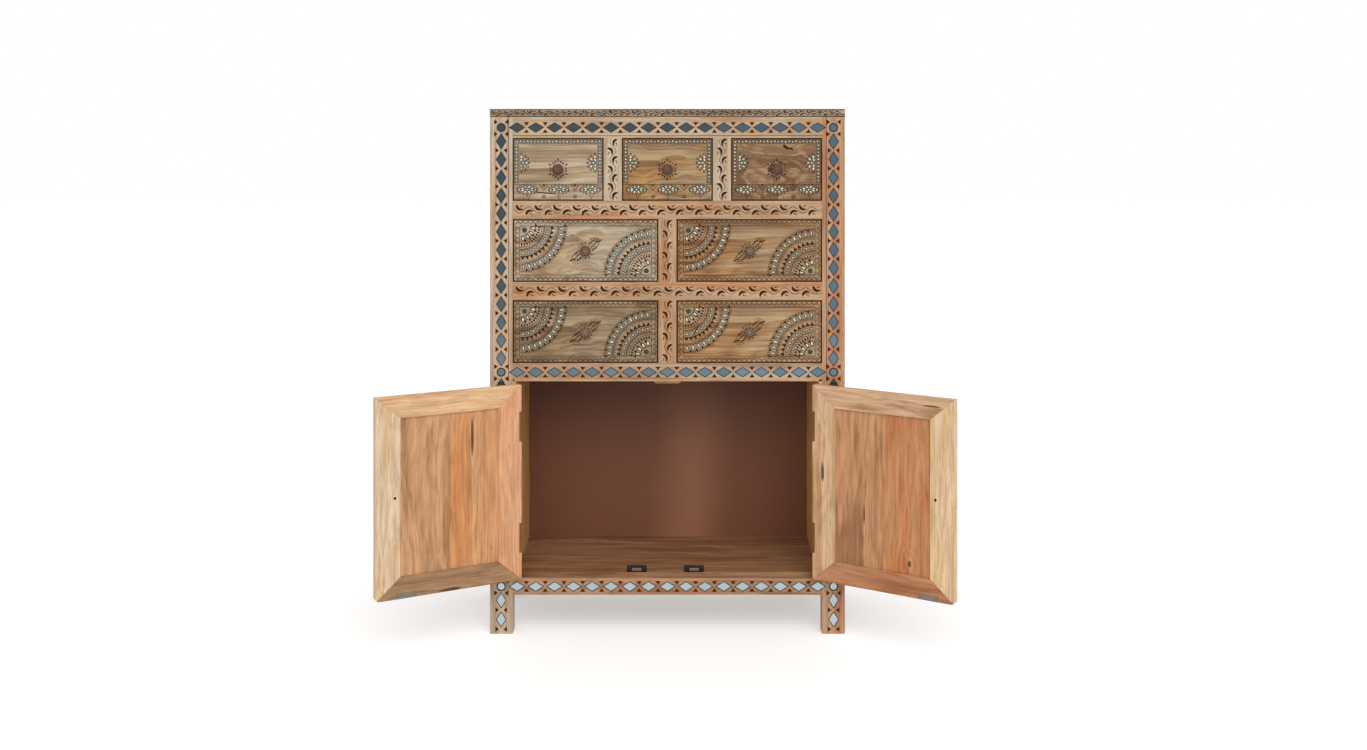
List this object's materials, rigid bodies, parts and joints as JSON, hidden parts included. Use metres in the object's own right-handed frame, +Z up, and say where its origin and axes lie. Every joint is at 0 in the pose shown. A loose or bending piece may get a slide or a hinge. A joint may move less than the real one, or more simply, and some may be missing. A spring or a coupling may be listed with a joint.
{
  "type": "chest of drawers",
  "caption": "Chest of drawers on legs: rows of drawers with turned knobs over an open two-door cupboard, with diamond mirrors and carved bands along its wooden frame.",
  "frame": {"origin": "on the floor, in the middle of the width of the carcass, midway between the back and the front edge of the open doors", "axes": "+X to the right as seen from the front, +Y to the back, +Z up"},
  "size_m": [1.4012, 0.5826, 1.33],
  "materials": {
    "frame_wood": "satin",
    "top_wood": "satin",
    "carved_wood": "matte",
    "side_wood": "satin",
    "hardboard": "matte",
    "inner_wood": "matte",
    "floor_wood": "matte",
    "lining_wood": "satin",
    "left_door_wood": "satin",
    "right_door_wood": "satin",
    "panel_wood": "satin",
    "drawer_front_wood": "satin",
    "knob_wood": "satin",
    "mirror": "gloss",
    "hinge_steel": "satin",
    "strike_steel": "satin",
    "catch_brown": "matte"
  },
  "bodies": {
    "carcass": {"top_board": "top_wood", "front_post_left": "frame_wood", "front_post_right": "frame_wood", "rear_posts": "side_wood", "top_rail": "frame_wood", "upper_mid_rail": "carved_wood", "lower_mid_rail": "carved_wood", "head_rail": "frame_wood", "bottom_rail": "frame_wood", "row_dividers": "carved_wood", "side_and_back_rails": "side_wood", "side_panels": "side_wood", "back_panel": "hardboard", "dust_boards": "inner_wood", "drawer_guides": "inner_wood", "cupboard_floor": "floor_wood", "floor_bearers": "inner_wood", "cupboard_linings": "lining_wood", "door_stop": "frame_wood", "magnetic_catches": "catch_brown", "fixed_hinge_leaves": "hinge_steel", "carcass_mirrors": "mirror"},
    "left_door": {"left_door_frame": "left_door_wood", "left_door_panel": "panel_wood", "left_door_knob": "knob_wood", "left_door_hinge_leaves": "hinge_steel", "left_door_strike_plate": "strike_steel"},
    "right_door": {"right_door_frame": "right_door_wood", "right_door_panel": "panel_wood", "right_door_knob": "knob_wood", "right_door_hinge_leaves": "hinge_steel", "right_door_strike_plate": "strike_steel"},
    "upper_left_drawer": {"upper_left_front": "drawer_front_wood", "upper_left_box": "inner_wood", "upper_left_bottom": "inner_wood", "upper_left_knob": "knob_wood"},
    "upper_middle_drawer": {"upper_middle_front": "drawer_front_wood", "upper_middle_box": "inner_wood", "upper_middle_bottom": "inner_wood", "upper_middle_knob": "knob_wood"},
    "upper_right_drawer": {"upper_right_front": "drawer_front_wood", "upper_right_box": "inner_wood", "upper_right_bottom": "inner_wood", "upper_right_knob": "knob_wood"},
    "middle_left_drawer": {"middle_left_front": "drawer_front_wood", "middle_left_box": "inner_wood", "middle_left_bottom": "inner_wood", "middle_left_knob": "knob_wood"},
    "middle_right_drawer": {"middle_right_front": "drawer_front_wood", "middle_right_box": "inner_wood", "middle_right_bottom": "inner_wood", "middle_right_knob": "knob_wood"},
    "lower_left_drawer": {"lower_left_front": "drawer_front_wood", "lower_left_box": "inner_wood", "lower_left_bottom": "inner_wood", "lower_left_knob": "knob_wood"},
    "lower_right_drawer": {"lower_right_front": "drawer_front_wood", "lower_right_box": "inner_wood", "lower_right_bottom": "inner_wood", "lower_right_knob": "knob_wood"}
  },
  "joints": [
    {"name": "left_door_hinge", "type": "hinge", "parent": "carcass", "child": "left_door", "pos_m": [-0.379, -0.06813, 0.3905], "axis": [0, 0, 1], "range_deg": [-21, 151]},
    {"name": "right_door_hinge", "type": "hinge", "parent": "carcass", "child": "right_door", "pos_m": [0.379, -0.06813, 0.3905], "axis": [0, 0, 1], "range_deg": [-147.5, 24.5]},
    {"name": "upper_left_drawer_slide", "type": "slide", "parent": "carcass", "child": "upper_left_drawer", "axis": [0, -1, 0], "range_m": [0, 0.23]},
    {"name": "upper_middle_drawer_slide", "type": "slide", "parent": "carcass", "child": "upper_middle_drawer", "axis": [0, -1, 0], "range_m": [0, 0.23]},
    {"name": "upper_right_drawer_slide", "type": "slide", "parent": "carcass", "child": "upper_right_drawer", "axis": [0, -1, 0], "range_m": [0, 0.23]},
    {"name": "middle_left_drawer_slide", "type": "slide", "parent": "carcass", "child": "middle_left_drawer", "axis": [0, -1, 0], "range_m": [0, 0.23]},
    {"name": "middle_right_drawer_slide", "type": "slide", "parent": "carcass", "child": "middle_right_drawer", "axis": [0, -1, 0], "range_m": [0, 0.23]},
    {"name": "lower_left_drawer_slide", "type": "slide", "parent": "carcass", "child": "lower_left_drawer", "axis": [0, -1, 0], "range_m": [0, 0.23]},
    {"name": "lower_right_drawer_slide", "type": "slide", "parent": "carcass", "child": "lower_right_drawer", "axis": [0, -1, 0], "range_m": [0, 0.23]}
  ]
}
